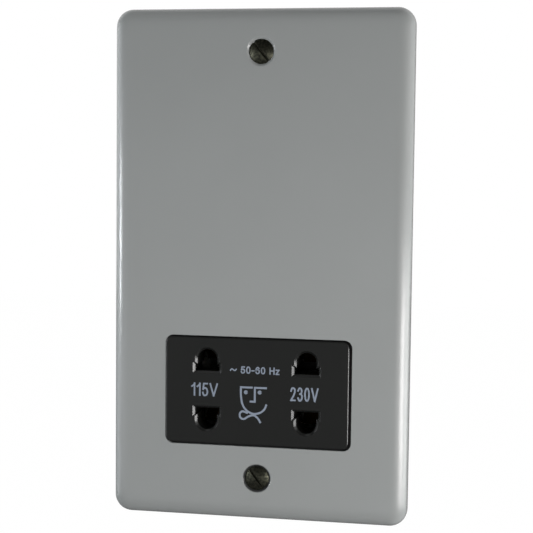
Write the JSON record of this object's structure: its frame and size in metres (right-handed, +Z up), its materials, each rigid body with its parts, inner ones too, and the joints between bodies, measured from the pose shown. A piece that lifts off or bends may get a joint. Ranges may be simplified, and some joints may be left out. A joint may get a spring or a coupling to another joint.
{
  "type": "dual-voltage shaver socket",
  "caption": "Wall-mounted shaver supply unit: grey steel double plate with a black two-voltage socket insert, isolating transformer and plug-operated switch behind.",
  "frame": {"origin": "Midway between the two fixing screws, on the wall plane that the plate's rim meets.", "axes": "+X right, +Y into the wall, +Z up."},
  "size_m": [0.0854, 0.0436, 0.145],
  "materials": {
    "grey_paint": "satin grey paint on pressed steel",
    "bronze_plated_steel": "dark bronze plated steel",
    "zinc_steel": "zinc plated steel",
    "black_moulding": "fine textured black moulding",
    "white_moulding": "white moulding",
    "contact_bronze": "phosphor bronze strip",
    "terminal_brass": "turned brass",
    "spring_steel": "bright steel",
    "core_steel": "varnished lamination steel",
    "enamelled_copper": "enamelled copper wire",
    "yellow_tape": "polyester tape",
    "red_plastic": "red moulding",
    "black_lead": "lead insulation",
    "red_lead": "lead insulation",
    "white_lead": "lead insulation",
    "brown_lead": "lead insulation",
    "blue_lead": "lead insulation",
    "green_lead": "lead insulation"
  },
  "bodies": {
    "socket_unit": {"face_plate": "grey_paint", "fixing_screws": "bronze_plated_steel", "plate_studs": "zinc_steel", "stud_nuts": "zinc_steel", "front_moulding": "black_moulding", "rear_housing": "white_moulding", "housing_screws": "zinc_steel", "contact_carrier": "white_moulding", "carrier_screws": "zinc_steel", "contact_115v": "contact_bronze", "contact_230v": "contact_bronze", "contact_common": "contact_bronze", "contact_rivets": "contact_bronze", "return_spring": "spring_steel", "switch_body": "black_moulding", "switch_tabs": "terminal_brass", "core_e_stack": "core_steel", "core_i_stack": "core_steel", "core_bolts": "zinc_steel", "coil_bobbin": "white_moulding", "primary_winding": "enamelled_copper", "secondary_winding": "enamelled_copper", "winding_tapes": "yellow_tape", "thermal_fuse": "spring_steel", "earth_tag": "terminal_brass", "terminal_block": "white_moulding", "terminal_screws": "terminal_brass", "neutral_terminal": "terminal_brass", "live_terminal": "terminal_brass", "earth_terminal": "terminal_brass", "lead_common": "black_lead", "lead_230v": "red_lead", "lead_115v": "white_lead", "lead_switched": "brown_lead", "lead_neutral": "blue_lead", "earth_lead": "green_lead"},
    "plug_actuator": {"plug_actuator": "black_moulding", "switch_plunger": "red_plastic"}
  },
  "joints": [
    {"name": "plug_press", "type": "slide", "parent": "socket_unit", "child": "plug_actuator", "axis": [0, 1, 0], "range_m": [0, 0.004], "stiffness_N_per_m": 250, "springref_m": -0.004, "deforming": ["return_spring"]}
  ]
}
